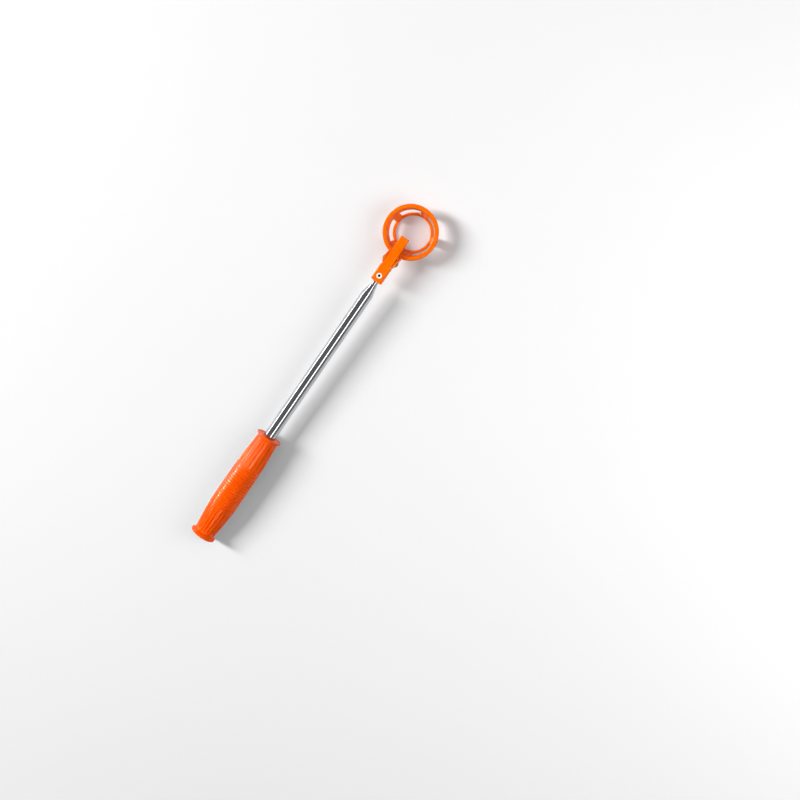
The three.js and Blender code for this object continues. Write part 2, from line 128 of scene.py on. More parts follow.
RECESS_DEPTH = 3.0
STEM_GAP = 7.1
SPRING_WIRE = 0.45
SPRING_COIL = 2.6
SPRING_TURNS = 4
SPRING_PITCH = 1.15


def tube_radius(section):
    return (15 - section) / 2


def mouth_of(section):
    return FIRST_MOUTH + (section - 1) * MOUTH_STEP


# ---- mesh helpers ----------------------------------------------------------------------------
def rounded(points, steps=5):
    """An outline of (a, b, fillet) corners, each fillet worked out as an arc. It closes on itself."""
    outline = []
    count = len(points)
    for i, (a, b, fillet) in enumerate(points):
        here = Vector((a, b))
        if fillet == 0:
            outline.append(here)
            continue
        back = Vector(points[i - 1][:2]) - here
        ahead = Vector(points[(i + 1) % count][:2]) - here
        half = back.angle(ahead) / 2
        reach = min(fillet / math.tan(half), back.length * 0.49, ahead.length * 0.49)
        radius = reach * math.tan(half)
        bisector = (back.normalized() + ahead.normalized()).normalized()
        centre = here + bisector * (radius / math.sin(half))
        first = here + back.normalized() * reach - centre
        last = here + ahead.normalized() * reach - centre
        sweep = first.angle_signed(last)
        for k in range(steps + 1):
            turn = Matrix.Rotation(-sweep * k / steps, 2)
            outline.append(centre + turn @ first)
    return [tuple(p) for p in outline]


def arc_points(x, z, radius, start, end, steps):
    """Points along an arc about (x, z), from one angle to another in radians."""
    angles = [start + (end - start) * k / steps for k in range(steps + 1)]
    return [(x + radius * math.cos(angle), z + radius * math.sin(angle)) for angle in angles]


def revolve(outline, sides, depth=None, start=0.0, sweep=2 * math.pi, closed=True):
    """Turns (along, radius) points about X. depth(along, radius, angle) is taken off the radius.
    A sweep under a full turn is capped at both ends, and an open outline starts and ends on the axis."""
    full = sweep > 6.28
    rings = sides if full else sides + 1
    verts, faces, lengths = [], [], [0.0]
    for i in range(1, len(outline) + 1):
        a, b = outline[i - 1], outline[i % len(outline)]
        lengths.append(lengths[-1] + math.dist(a, b))
    for k in range(rings):
        angle = start + sweep * k / sides
        for along, radius in outline:
            r = radius - (depth(along, radius, angle) if depth else 0.0)
            verts.append((along, r * math.cos(angle), r * math.sin(angle)))
    n = len(outline)
    for k in range(sides):
        here, there = k * n, (k + 1) % rings * n
        for i in range(n if closed else n - 1):
            j = (i + 1) % n
            faces.append((here + i, here + j, there + j, there + i))
    if not full:
        faces.append(tuple(range(n - 1, -1, -1)))
        faces.append(tuple(sides * n + i for i in range(n)))
    return verts, faces


def mesh_object(name, verts, faces, place):
    mesh = bpy.data.meshes.new(name)
    mesh.from_pydata([place @ Vector(v) for v in verts], [], faces)
    bm = bmesh.new()
    bm.from_mesh(mesh)
    bmesh.ops.remove_doubles(bm, verts=bm.verts, dist=1e-7)
    bmesh.ops.recalc_face_normals(bm, faces=bm.faces)
    bm.to_mesh(mesh)
    bm.free()
    obj = bpy.data.objects.new(name, mesh)
    bpy.context.collection.objects.link(obj)
    return obj


def apply_modifiers(obj):
    graph = bpy.context.evaluated_depsgraph_get()
    mesh = bpy.data.meshes.new_from_object(obj.evaluated_get(graph))
    obj.modifiers.clear()
    obj.data = mesh
    return obj


def combine(base, other, operation):
    """Joins or cuts two millimetre-sized meshes, and drops the second."""
    step = base.modifiers.new("cut", "BOOLEAN")
    step.operation = operation
    step.solver = "EXACT"
    step.object = other
    apply_modifiers(base)
    bpy.data.objects.remove(other)
    return base


def moulded(obj, voxel, passes):
    """Remeshes a millimetre-sized solid and smooths it, which rounds its edges and inside corners."""
    remesh = obj.modifiers.new("remesh", "REMESH")
    remesh.mode = "VOXEL"
    remesh.voxel_size = voxel
    smooth = obj.modifiers.new("smooth", "SMOOTH")
    smooth.factor = 0.5
    smooth.iterations = passes
    return apply_modifiers(obj)


def slab(name, outline, low, high):
    """An (x, z) outline made solid from y = low to y = high, in millimetres."""
    n = len(outline)
    verts = [(x, y, z) for y in (low, high) for x, z in outline]
    faces = [tuple(range(n)), tuple(range(2 * n - 1, n - 1, -1))]
    faces += [(i, n + i, n + (i + 1) % n, (i + 1) % n) for i in range(n)]
    return mesh_object(name, verts, faces, Matrix.Identity(4))


def rod(name, centre, direction, radius, length, sides=64):
    """A plain round cutter, in millimetres."""
    half = length / 2
    verts, faces = revolve([(-half, 0), (-half, radius), (half, radius), (half, 0)], sides, closed=False)
    turn = Vector((1, 0, 0)).rotation_difference(Vector(direction)).to_matrix().to_4x4()
    return mesh_object(name, verts, faces, Matrix.Translation(centre) @ turn)


def finish_piece(obj, body, slot, material, nodes, smooth_angle=None):
    """Shades a final mesh, hides the CAD nodes it stands for and ties it to its body. The slot only picks
    out the orange plastic pieces.
    """
    for polygon in obj.data.polygons:
        polygon.use_smooth = True
    if smooth_angle is not None:
        obj.data.set_sharp_from_angle(angle=math.radians(smooth_angle))
    weighted = obj.modifiers.new("normals", "WEIGHTED_NORMAL")
    weighted.keep_sharp = True
    obj.data.materials.clear()
    obj.data.materials.append(material)
    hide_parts(*nodes)
    if body:
        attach(obj, body)
    if slot in ("grip_orange", "head_orange"):
        PLASTIC_PIECES.objects.link(obj)
        # The grip casts its shadow but none of its colour on the floor.
        obj.visible_diffuse = slot == "head_orange"
    return obj


def place_in(obj, matrix):
    obj.data.transform(matrix)
    return obj


# ---- node helpers ----------------------------------------------------------------------------
class Nodes:
    """A small material builder: each call adds a node and links what it is given."""

    def __init__(self, name):
        self.material = bpy.data.materials.new(name)
        self.material.use_nodes = True
        self.tree = self.material.node_tree
        self.shader = self.tree.nodes["Principled BSDF"]

    def add(self, kind, inputs=None, **settings):
        node = self.tree.nodes.new(kind)
        for key, value in settings.items():
            setattr(node, key, value)
        for key, value in (inputs or {}).items():
            self.put(node.inputs[key], value)
        return node

    def put(self, socket, value):
        if isinstance(value, bpy.types.NodeSocket):
            self.tree.links.new(value, socket)
        else:
            socket.default_value = value

    def set(self, **values):
        for key, value in values.items():
            self.put(self.shader.inputs[key.replace("_", " ")], value)

    def coordinates(self, scale, rotation=(0, 0, 0)):
        place = self.add("ShaderNodeTexCoord")
        return self.add("ShaderNodeMapping", {
            "Vector": place.outputs["Object"], "Rotation": rotation, "Scale": scale}).outputs["Vector"]

    def noise(self, vector, scale, detail=4.0, roughness=0.55):
        return self.add("ShaderNodeTexNoise", {
            "Vector": vector, "Scale": scale, "Detail": detail, "Roughness": roughness}).outputs["Fac"]

    def remap(self, value, low, high, to_low, to_high):
        return self.add("ShaderNodeMapRange", {
            "Value": value, "From Min": low, "From Max": high,
            "To Min": to_low, "To Max": to_high}).outputs["Result"]

    def mix(self, factor, a, b):
        node = self.add("ShaderNodeMix", data_type="RGBA")
        self.put(node.inputs[0], factor)
        self.put(node.inputs[6], a)
        self.put(node.inputs[7], b)
        return node.outputs[2]

    def bump(self, height, strength, distance, normal=None):
        inputs = {"Height": height, "Strength": strength, "Distance": distance}
        if normal is not None:
            inputs["Normal"] = normal
        return self.add("ShaderNodeBump", inputs).outputs["Normal"]


# ---- materials -------------------------------------------------------------------------------
def orange_plastic(name, deep, light, roughness, gloss, grain, grain_height):
    """Moulded orange: flow marks in the colour, a fine moulded grain, and faint handling scratches."""
    n = Nodes(name)
    place = n.coordinates((1, 1, 1))
    flow = n.noise(place, 45.0, 5.0)
    fine = n.noise(place, grain, 3.0)
    along = n.coordinates((90, 2200, 2200))
    scratch = n.noise(along, 1.0, 2.0)
    scratched = n.remap(scratch, 0.66, 0.74, 0.0, 1.0)
    n.set(
        Base_Color=n.mix(n.remap(flow, 0.3, 0.7, 0.0, 1.0), deep, light),
        Roughness=n.remap(n.noise(place, 160.0, 4.0), 0.3, 0.7, roughness * 0.8, roughness * 1.25),
        Specular_IOR_Level=gloss,
        Specular_Tint=(1.0, 0.82, 0.45, 1),
        Subsurface_Weight=0.4,
        Subsurface_Radius=(0.005, 0.0006, 0.0003),
        Subsurface_Scale=1.0,
        Normal=n.bump(scratched, 0.12, 0.00003, n.bump(fine, 0.35, grain_height)),
    )
    return n.material


def stainless_tube():
    """Drawn and polished tube: fine lengthwise lines and slow changes in the polish."""
    n = Nodes("tube_stainless")
    lines = n.coordinates((3, 5200, 5200), (0, PITCH, 0))
    slow = n.coordinates((20, 60, 60))
    draw = n.noise(lines, 1.0, 3.0)
    patch = n.noise(slow, 1.0, 3.0)
    n.set(
        Base_Color=n.mix(
            n.remap(patch, 0.3, 0.7, 0.0, 1.0), (0.50, 0.505, 0.515, 1), (0.58, 0.585, 0.595, 1)),
        Metallic=1.0,
        Roughness=n.remap(draw, 0.3, 0.7, 0.10, 0.2),
        Normal=n.bump(draw, 0.1, 0.00002),
    )
    return n.material


def plain_metal(name, dark, light, roughness, line_scale, dent, metallic=1.0):
    """Turned or drawn small metal parts with a fine worn grain."""
    n = Nodes(name)
    place = n.coordinates((1, 1, 1))
    grain = n.noise(place, line_scale, 5.0, 0.65)
    patch = n.noise(place, 380.0, 3.0)
    n.set(
        Base_Color=n.mix(n.remap(patch, 0.35, 0.65, 0.0, 1.0), dark, light),
        Metallic=metallic,
        Roughness=n.remap(grain, 0.3, 0.7, roughness * 0.75, roughness * 1.3),
        Normal=n.bump(grain, 0.25, dent),
    )
    return n.material


def black_rubber_and_painted_shade(name):
    """Black rubber, and the black painted into the eyelet's recess as its shade: dull, with a fine grain."""
    n = Nodes(name)
    place = n.coordinates((1, 1, 1))
    grain = n.noise(place, 2600.0, 4.0)
    n.set(
        Base_Color=n.mix(n.noise(place, 300.0), (0.012, 0.012, 0.013, 1), (0.03, 0.03, 0.031, 1)),
        Roughness=n.remap(grain, 0.3, 0.7, 0.6, 0.85),
        Normal=n.bump(grain, 0.3, 0.00005),
    )
    return n.material


def floor_paper():
    """Matt white studio board with a barely visible tooth. Its far parts glow a little, up to the world's
    brightness at the horizon, so that no dark band shows where the lamps no longer reach."""
    n = Nodes("floor_board")
    place = n.coordinates((1, 1, 1))
    tooth = n.noise(place, 900.0, 4.0)
    distance = n.add("ShaderNodeVectorMath", {0: place}, operation="LENGTH").outputs["Value"]
    n.set(
        Base_Color=n.mix(n.noise(place, 3.0), (0.61, 0.61, 0.615, 1), (0.63, 0.63, 0.635, 1)),
        Roughness=0.85,
        Emission_Color=(1, 1, 1, 1),
        Emission_Strength=n.remap(distance, 1.2, 4.5, 0.0, 0.36),
        Normal=n.bump(tooth, 0.1, 0.00003),
    )
    return n.material


GRIP_ORANGE = orange_plastic(
    "grip_orange", (0.74, 0.068, 0.0, 1), (0.79, 0.082, 0.0, 1), 0.12, 0.18, 2400.0, 0.000006)
HEAD_ORANGE = orange_plastic(
    "head_orange", (0.74, 0.116, 0.0, 1), (0.79, 0.132, 0.0, 1), 0.2, 0.15, 1500.0, 0.00001)
STAINLESS = stainless_tube()
# Dull black painted into the eyelet's recess, standing in for the shade of the hole.
EYELET_RECESS_SHADE = black_rubber_and_painted_shade("eyelet_recess_painted_shade")
BRONZE = plain_metal(
    "sleeve_bronze", (0.42, 0.25, 0.11, 1), (0.55, 0.36, 0.17, 1), 0.32, 1800.0, 0.00002)
ZINC = plain_metal(
    "rivet_zinc", (0.86, 0.865, 0.87, 1), (0.94, 0.945, 0.95, 1), 0.35, 1500.0, 0.00002, metallic=0.25)
PIN_STEEL = plain_metal(
    "pin_steel", (0.16, 0.163, 0.168, 1), (0.24, 0.244, 0.25, 1), 0.3, 2000.0, 0.00002)
SPRING_WIRE_STEEL = plain_metal(
    "spring_wire", (0.45, 0.455, 0.46, 1), (0.6, 0.605, 0.61, 1), 0.25, 2600.0, 0.00001)
BLACK_RUBBER = black_rubber_and_painted_shade("stop_black_rubber")
PLASTIC_PIECES = bpy.data.collections.new("plastic_pieces")


# ---- grip ------------------------------------------------------------------------------------
def smoothstep(value):
    t = min(max(value, 0.0), 1.0)
    return t * t * (3 - 2 * t)


def flute_cut(along, radius, angle):
    """How deep the lengthwise grooves are: two zones, which fade out at their ends."""
    if radius < 11.5:
        return 0.0
    rear = smoothstep((along - 7.0) / 4) * smoothstep((RIBS_START - 1.0 - along) / 1.2)
    front_start = RIBS_START + RIB_COUNT * RIB_PITCH + 1.0
    front = smoothstep((along - front_start) / 1.2) * smoothstep((GRIP_FRONT - 5.4 - along) / 3)
    zone = max(rear, front)
    if zone == 0.0:
        return 0.0
    pitch = 2 * math.pi / FLUTE_COUNT
    offset = abs((angle / pitch) % 1.0 - 0.5)
    return FLUTE_DEPTH * zone * smoothstep(1 - offset / 0.3)


def smooth_line(points, step=0.8):
    """Points at even steps along a curve through the given ones (Catmull-Rom)."""
    ends = [points[0]] + points + [points[-1]]
    line = []
    for p, q, r, t in zip(ends, ends[1:], ends[2:], ends[3:]):
        count = max(2, round((r[0] - q[0]) / step))
        for k in range(count):
            f = k / count
            line.append(tuple(0.5 * (
                2 * q[i] + (r[i] - p[i]) * f + (2 * p[i] - 5 * q[i] + 4 * r[i] - t[i]) * f * f
                + (3 * q[i] - p[i] - 3 * r[i] + t[i]) * f ** 3) for i in (0, 1)))
    return line + [points[-1]]


def barrel_outline():
    """The grip's outside between its flanges: a fluted taper, the ringed barrel, and another taper."""
    samples = 10
    barrel = []
    for k in range(RIB_COUNT * samples + 1):
        share = k / (RIB_COUNT * samples)
        lobe = abs(math.sin(math.pi * k / samples)) ** 0.55
        crown = 0.25 * math.sin(math.pi * share) - 0.35 * (share - 0.3)
        barrel.append((RIBS_START + k * RIB_PITCH / samples, BARREL + crown - RIB_DEPTH * (1 - lobe)))
    return smooth_line(REAR_TAPER) + barrel + smooth_line(FRONT_TAPER)


def make_grip():
    r, f, front = REAR_FLANGE, FRONT_FLANGE, GRIP_FRONT
    rear_lip = rounded([
        (3.5, 9.7, 0), (3.5, 11.8, 0.1), (GRIP_REAR, 11.8, 0.25), (GRIP_REAR, r - 0.4, 1.4), (2.0, r, 1.4),
        (3.8, r, 1.3), (5.2, 12.4, 1.4), (6.2, 12.5, 0), (6.2, 9.7, 0),
    ])[1:-2]
    front_lip = rounded([
        (135.2, 12.8, 0), (front - 4.0, 12.9, 2.2), (front - 2.4, f - 0.1, 0.9), (front - 0.5, f, 0.8),
        (front - 2.0, 11.0, 2.2), (front - 1.2, 8.0, 0.5), (front - 1.2, 7.15, 0.3), (135.2, 7.15, 0),
    ])[1:-1]
    inside = [(77.6, 7.15), (77.6, 5.0), (68.0, 5.0), (68.0, 9.7), (3.5, 9.7)]
    verts, faces = revolve(rear_lip + barrel_outline() + front_lip + inside, 320, flute_cut)
    grip = mesh_object("grip_skin", verts, faces, POLE)
    return finish_piece(grip, "handle", "grip_orange", GRIP_ORANGE, ["grip"], 50)


def make_end_cap():
    outline = rounded([
        (0.35, 0.0, 0), (0.35, 3.0, 0.15), (0.0, 3.4, 0.15), (0.0, 8.6, 0.2), (0.45, 9.0, 0.2),
        (0.45, 9.6, 0.2), (0.0, 10.0, 0.2), (0.0, 11.6, 0.5), (3.2, 11.6, 0.1), (3.2, 9.5, 0.1),
        (13.0, 9.5, 0.5), (13.0, 7.9, 0.4), (3.2, 7.9, 0.2), (3.2, 0.0, 0),
    ])
    verts, faces = revolve(outline, 160, closed=False)
    cap = mesh_object("end_cap_plug", verts, faces, POLE)
    return finish_piece(cap, "handle", "grip_orange", GRIP_ORANGE, ["end_cap"], 45)


def make_bottom_stop():
    outline = rounded([
        (77.9, 0.0, 0), (77.9, 6.9, 0.3), (79.9, 6.9, 0.3), (79.9, 6.6, 0), (82.2, 6.6, 0.6), (82.2, 0.0, 0),
    ])
    verts, faces = revolve(outline, 96, closed=False)
    stop = mesh_object("bottom_bumper", verts, faces, POLE)
    return finish_piece(stop, "handle", "stop_rubber", BLACK_RUBBER, ["bottom_stop"], 45)


# ---- pole ------------------------------------------------------------------------------------
def crimp_points(crimp, radius, depth, half_width, steps=8):
    """A rolled groove of one wave, from its rear edge to its front edge."""
    points = []
    for k in range(steps + 1):
        share = 2 * k / steps - 1
        wave = (1 + math.cos(math.pi * share)) / 2
        points.append((crimp + half_width * share, radius - depth * wave))
    return points


def section_outline(section):
    """A tube's wall: a plain rear end, the crimp, and a mouth necked down onto the next tube."""
    outside = tube_radius(section)
    inside = outside - TUBE_WALL
    base = TUBE_BASE if section == 1 else SLIDING_BASE
    mouth = mouth_of(section)
    lip_inside = tube_radius(section + 1) + LIP_CLEARANCE
    lip_outside = lip_inside + TUBE_WALL
    crimp = mouth - CRIMP_SETBACK
    lip = rounded([
        (mouth - 3.2, outside, 0), (mouth - LIP_LENGTH, outside, 0.9),
        (mouth - 0.35, lip_outside + 0.02, 0.5), (mouth, lip_outside - 0.06, 0.12),
        (mouth, lip_inside, 0.06), (mouth - 0.5, lip_inside, 0.4),
        (mouth - LIP_LENGTH, inside, 0.9), (mouth - 3.2, inside, 0),
    ], 4)
    outer_crimp = crimp_points(crimp, outside, CRIMP_DEPTH, CRIMP_HALF_WIDTH)
    inner_crimp = crimp_points(crimp, inside, CRIMP_DEPTH - 0.04, CRIMP_HALF_WIDTH)
    outer = [(base, outside - 0.04), (base + 0.05, outside)] + outer_crimp
    inner = inner_crimp[::-1] + [(base + 0.05, inside), (base, inside + 0.04)]
    return outer + lip + inner


def make_section(section):
    body = "handle" if section == 1 else f"section_{section}"
    verts, faces = revolve(section_outline(section), 144)
    tube = mesh_object(f"tube_{section}", verts, faces, POLE)
    return finish_piece(tube, body, "tube_steel", STAINLESS, [f"pole_section_{section}"], 40)


def make_tip_section():
    outside = tube_radius(SECTIONS)
    inside = outside - TUBE_WALL
    end = STEM_REAR + SOCKET_DEPTH
    outline = [(SLIDING_BASE, inside), (SLIDING_BASE, outside), (end, outside), (end, inside)]
    verts, faces = revolve(outline, 144)
    tube = mesh_object(f"tube_{SECTIONS}", verts, faces, Matrix.Identity(4))
    hole = rod("hole", (PIN_IN_POLE.x - RIVET_BEHIND_PIN, 0, 0), (0, 0, 1), RIVET_HOLE, 40)
    place_in(combine(tube, hole, "DIFFERENCE"), POLE)
    return finish_piece(tube, "head", "tube_steel", STAINLESS, [f"pole_section_{SECTIONS}"], 40)


def make_sleeve(section):
    """A bent strip with a slit along the top and a rolled bead near each end."""
    inside = tube_radius(section) + 0.08
    outside = inside + SLEEVE_WALL
    rear = SLIDING_BASE + 1
    front = rear + SLEEVE_LENGTH
    beads = []
    for centre in (rear + 2.5, front - 2.5):
        beads += crimp_points(centre, outside, -SLEEVE_BEAD, CRIMP_HALF_WIDTH)
    outline = [(rear, inside), (rear, outside)] + beads + [(front, outside), (front, inside)]
    start, sweep = math.pi / 2 + SLEEVE_SLIT, 2 * math.pi - 2 * SLEEVE_SLIT
    verts, faces = revolve(outline, 96, start=start, sweep=sweep)
    sleeve = mesh_object(f"sleeve_{section}", verts, faces, POLE)
    body = "sleeve_8" if section == SECTIONS else f"section_{section}"
    return finish_piece(sleeve, body, "sleeve_bronze", BRONZE, [f"friction_sleeve_{section}"], 40)


# ---- head ------------------------------------------------------------------------------------
def stem_block():
    """The stem's rounded bar, from the tip tube to just behind the pin."""
    half = STEM_WIDTH / 2
    low = ARM_TOP - STEM_HEIGHT
    front = PIN_IN_POLE.x - STEM_GAP
    section = rounded([(-half, low, 2.6), (half, low, 2.6), (half, ARM_TOP, 2.2), (-half, ARM_TOP, 2.2)], 8)
    n = len(section)
    verts = [(x, y, z) for x in (STEM_REAR, front) for y, z in section]
    faces = [tuple(range(n)), tuple(range(2 * n - 1, n - 1, -1))]
    faces += [(i, n + i, n + (i + 1) % n, (i + 1) % n) for i in range(n)]
    return mesh_object("head_arm_body", verts, faces, Matrix.Identity(4))


def arm_outline():
    """The arm's side view: rounded about the pin, then a bar over the rim to a square tip."""
    x, z = PIN_IN_POLE.x, PIN_IN_POLE.z
    underside = z - PIN_ABOVE_RIM + 0.5
    tip = x + PIN_TO_RING - 8.0
    stem_front = x - STEM_GAP
    barrel = 5.8
    arc = arc_points(x, z, barrel, -2.4, math.asin((underside - z) / barrel), 40)
    return [
        (stem_front - 1, ARM_TOP), (stem_front - 1, ARM_TOP - STEM_HEIGHT + 0.6),
        (x - 4.4, ARM_TOP - STEM_HEIGHT + 0.1), *arc, (x + PIN_TO_RING - RIM_RADIUS, underside),
        (tip, -0.6), (tip, 4.4), (tip - 12, ARM_TOP),
    ]


def make_head_arm():
    x, z = PIN_IN_POLE.x, PIN_IN_POLE.z
    body = stem_block()
    arm = slab("arm", arm_outline(), -0.5, 0.5)
    for vertex in arm.data.vertices:
        share = smoothstep((vertex.co.x - x) / (PIN_TO_RING - 8.0))
        vertex.co.y *= ARM_WIDTH + (ARM_TIP_WIDTH - ARM_WIDTH) * share
    combine(body, arm, "UNION")
    combine(body, rod("socket", (STEM_REAR, 0, 0), (1, 0, 0), SOCKET_RADIUS, 2 * 14.5), "DIFFERENCE")
    combine(body, rod("rivet_hole", (x - RIVET_BEHIND_PIN, 0, 0), (0, 0, 1), RIVET_HOLE, 40), "DIFFERENCE")
    pocket = slab("pocket", [(x - 3.8, -16.0), (x + 6.0, -16.0), (x + 6.0, 3.2), (x - 3.8, 3.2)], -3.1, 3.1)
    combine(body, pocket, "DIFFERENCE")
    combine(body, rod("pin_hole", (x, 0, z), (0, 1, 0), PIN_HOLE, 30), "DIFFERENCE")
    moulded(body, 0.22, 5)
    place_in(body, POLE)
    return finish_piece(body, "head", "head_orange", HEAD_ORANGE, ["head_arm"])


def make_rivet():
    """A hollow eyelet whose ends are rolled over the stem. Its recess is painted black as shade."""
    top = ARM_TOP + 0.05
    low = ARM_TOP - STEM_HEIGHT - 0.05
    hollow, deep = RECESS_RADIUS, RECESS_DEPTH
    outline = rounded([
        (low + deep, 0.0, 0), (low + deep, hollow, 0), (low - 0.6, hollow, 0.3), (low - 0.9, 2.3, 0.45),
        (low - 0.75, 2.95, 0.3), (low, 3.3, 0.2), (low, 1.85, 0.2), (top, 1.85, 0.2), (top, 3.3, 0.2),
        (top + 0.75, 2.95, 0.3), (top + 0.9, 2.3, 0.45), (top + 0.6, hollow, 0.3), (top - deep, hollow, 0),
        (top - deep, 0.0, 0),
    ], 6)
    verts, faces = revolve(outline, 96, closed=False)
    where = Matrix.Translation((PIN_IN_POLE.x - RIVET_BEHIND_PIN, 0, 0))
    upright = where @ Matrix.Rotation(-math.pi / 2, 4, "Y")
    rivet = mesh_object("tip_eyelet", verts, faces, POLE @ upright)
    finish_piece(rivet, "head", "rivet_zinc", ZINC, ["tip_rivet"], 60)
    # The faces inside the recess radius take the dull black: painted shade for the dark hole.
    rivet.data.materials.append(EYELET_RECESS_SHADE)
    axis = (POLE @ upright).inverted()
    for polygon in rivet.data.polygons:
        centre = axis @ polygon.center
        polygon.material_index = int(math.hypot(centre.y, centre.z) < RECESS_RADIUS + 0.03)
    return rivet


def make_pin():
    face = CHEEK_OUTSIDE + 0.05
    outline = rounded([
        (-face - 1.45, 0.0, 0), (-face - 1.3, 1.6, 1.5), (-face - 0.4, 2.95, 0.4), (-face, 2.95, 0.1),
        (-face, 1.5, 0), (face, 1.5, 0), (face, 2.95, 0.1), (face + 0.4, 2.95, 0.4), (face + 1.3, 1.6, 1.5),
        (face + 1.45, 0.0, 0),
    ], 6)
    verts, faces = revolve(outline, 96, closed=False)
    across = Matrix.Translation(PIN_IN_POLE) @ Matrix.Rotation(math.pi / 2, 4, "Z")
    pin = mesh_object("pin_rivet", verts, faces, POLE @ across)
    return finish_piece(pin, "head", "pin_steel", PIN_STEEL, ["hinge_pin"], 50)


def spring_centre_line(samples=420):
    """One leg under the arm's roof, the coil round the pin, and one leg under the rim."""
    slope = 0.34
    upper, lower = 4.6, 10.2
    swept = 2 * math.pi * SPRING_TURNS + math.pi - slope
    coil = swept * SPRING_COIL
    half = (SPRING_TURNS + 0.5) * SPRING_PITCH / 2
    points = []
    for k in range(samples + 1):
        along = (upper + coil + lower) * k / samples - upper
        coiled = min(max(along, 0.0), coil)
        angle = math.pi / 2 + coiled / SPRING_COIL
        straight = along - coiled
        points.append(PIN_IN_POLE + Vector((
            SPRING_COIL * math.cos(angle) - straight * math.sin(angle),
            -half + 2 * half * coiled / coil,
            SPRING_COIL * math.sin(angle) + straight * math.cos(angle),
        )))
    return points


def make_spring():
    """Round wire swept along the centre line, with a rounded end on each leg."""
    points = spring_centre_line()
    sides = 16
    last = len(points) - 1
    tangents = [(points[min(i + 1, last)] - points[max(i - 1, 0)]).normalized() for i in range(last + 1)]
    side = tangents[0].orthogonal().normalized()
    verts, faces = [], []
    # [point, push along the wire, share of the full radius]
    rings = [(0, -0.28, 0.45), (0, -0.12, 0.85)] + [(i, 0.0, 1.0) for i in range(last + 1)]
    rings += [(last, 0.12, 0.85), (last, 0.28, 0.45)]
    for i, push, scale in rings:
        tangent = tangents[i]
        side = (side - tangent * side.dot(tangent)).normalized()
        up = tangent.cross(side)
        for k in range(sides):
            angle = 2 * math.pi * k / sides
            offset = side * math.cos(angle) + up * math.sin(angle)
            verts.append(points[i] + tangent * push + offset * SPRING_WIRE * scale)
    for ring in range(len(rings) - 1):
        for k in range(sides):
            a, b = ring * sides + k, ring * sides + (k + 1) % sides
            faces.append((a, b, b + sides, a + sides))
    faces.append(tuple(range(sides - 1, -1, -1)))
    faces.append(tuple((len(rings) - 1) * sides + k for k in range(sides)))
    spring = mesh_object("closing_spring", verts, faces, POLE)
    finish_piece(spring, None, "spring_steel", SPRING_WIRE_STEEL, ["torsion_spring"], 50)
    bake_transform(spring)
    return spring


# ---- scoop -----------------------------------------------------------------------------------
def ring_of(name, outline, sides=256):
    """A (height, radius) outline turned about Z."""
    verts, faces = revolve(outline, sides)
    return mesh_object(name, verts, faces, Matrix.Rotation(-math.pi / 2, 4, "Y"))


def scoop_rib(angle):
    """A flat rib from the wall's lower edge down to the hoop."""
    side = [
        (WALL_BOTTOM + 0.35, -WALL_DEPTH + 1.6), (HOOP_INNER + 0.7, -SCOOP_DEPTH + HOOP_HEIGHT - 1.2),
        (HOOP_OUTER - 0.4, -SCOOP_DEPTH + 0.3), (WALL_BOTTOM + WALL_THICKNESS - 0.1, -WALL_DEPTH + 1.6),
    ]
    rib = slab("rib", side, -SCOOP_RIB_WIDTH / 2, SCOOP_RIB_WIDTH / 2)
    return place_in(rib, Matrix.Rotation(angle, 4, "Z"))


def scoop_cheek(low, high):
    """A hinge cheek from y = low to y = high, with its outside tapered in towards the rear."""
    root = -RIM_RADIUS + 3.4
    arc = arc_points(-PIN_TO_RING, PIN_ABOVE_RIM, CHEEK_RADIUS, 1.13, 2 * math.pi - 1.13, 48)
    cheek = slab("cheek", [(root, -0.2), *arc, (root + 2.1, -9.0)], low, high)
    rear = -PIN_TO_RING - CHEEK_RADIUS
    taper = [(rear - 1, 6.3), (rear, 6.3), (rear + 6.0, 8.6), (rear + 6.0, 20), (rear - 1, 20)]
    side = 1 if high > 0 else -1
    verts = [(x, side * y, z) for z in (-20, 20) for x, y in taper]
    faces = [tuple(range(5)), tuple(range(9, 4, -1))]
    faces += [(i, 5 + i, 5 + (i + 1) % 5, (i + 1) % 5) for i in range(5)]
    return combine(cheek, mesh_object("taper", verts, faces, Matrix.Identity(4)), "DIFFERENCE")


def make_scoop():
    rim_inside = RIM_RADIUS - RIM_WIDTH
    scoop = ring_of("scoop_basket", rounded([
        (0.0, RIM_RADIUS, 1.4), (0.0, rim_inside, 1.0), (-WALL_DEPTH, WALL_BOTTOM, 0.4),
        (-WALL_DEPTH, WALL_BOTTOM + WALL_THICKNESS, 0.4), (-4.5, rim_inside + WALL_THICKNESS, 1.2),
        (-3.4, RIM_RADIUS, 0.8),
    ], 8))
    hoop = ring_of("hoop", rounded([
        (-SCOOP_DEPTH, HOOP_INNER, 0.4), (-SCOOP_DEPTH, HOOP_OUTER, 0.5),
        (-SCOOP_DEPTH + HOOP_HEIGHT, HOOP_OUTER, 1.0), (-SCOOP_DEPTH + HOOP_HEIGHT, HOOP_INNER, 1.0),
    ], 6))
    combine(scoop, hoop, "UNION")
    for turn in SCOOP_RIB_TURNS:
        combine(scoop, scoop_rib(math.radians(turn)), "UNION")
    combine(scoop, scoop_cheek(CHEEK_INSIDE, CHEEK_OUTSIDE), "UNION")
    combine(scoop, scoop_cheek(-CHEEK_OUTSIDE, -CHEEK_INSIDE), "UNION")
    combine(scoop, rod("pin_hole", (-PIN_TO_RING, 0, PIN_ABOVE_RIM), (0, 1, 0), PIN_HOLE, 40), "DIFFERENCE")
    moulded(scoop, 0.3, 4)
    place_in(scoop, SCOOP)
    return finish_piece(scoop, "scoop", "head_orange", HEAD_ORANGE, ["scoop"])


# ---- stage -----------------------------------------------------------------------------------
FLOOR_HALF_SIZE = 12.0  # metres


def make_floor():
    half = FLOOR_HALF_SIZE
    mesh = bpy.data.meshes.new("floor")
    corners = [(-half, -half, 0), (half, -half, 0), (half, half, 0), (-half, half, 0)]
    mesh.from_pydata(corners, [], [(0, 1, 2, 3)])
    floor = bpy.data.objects.new("floor", mesh)
    bpy.context.collection.objects.link(floor)
    mesh.materials.append(floor_paper())


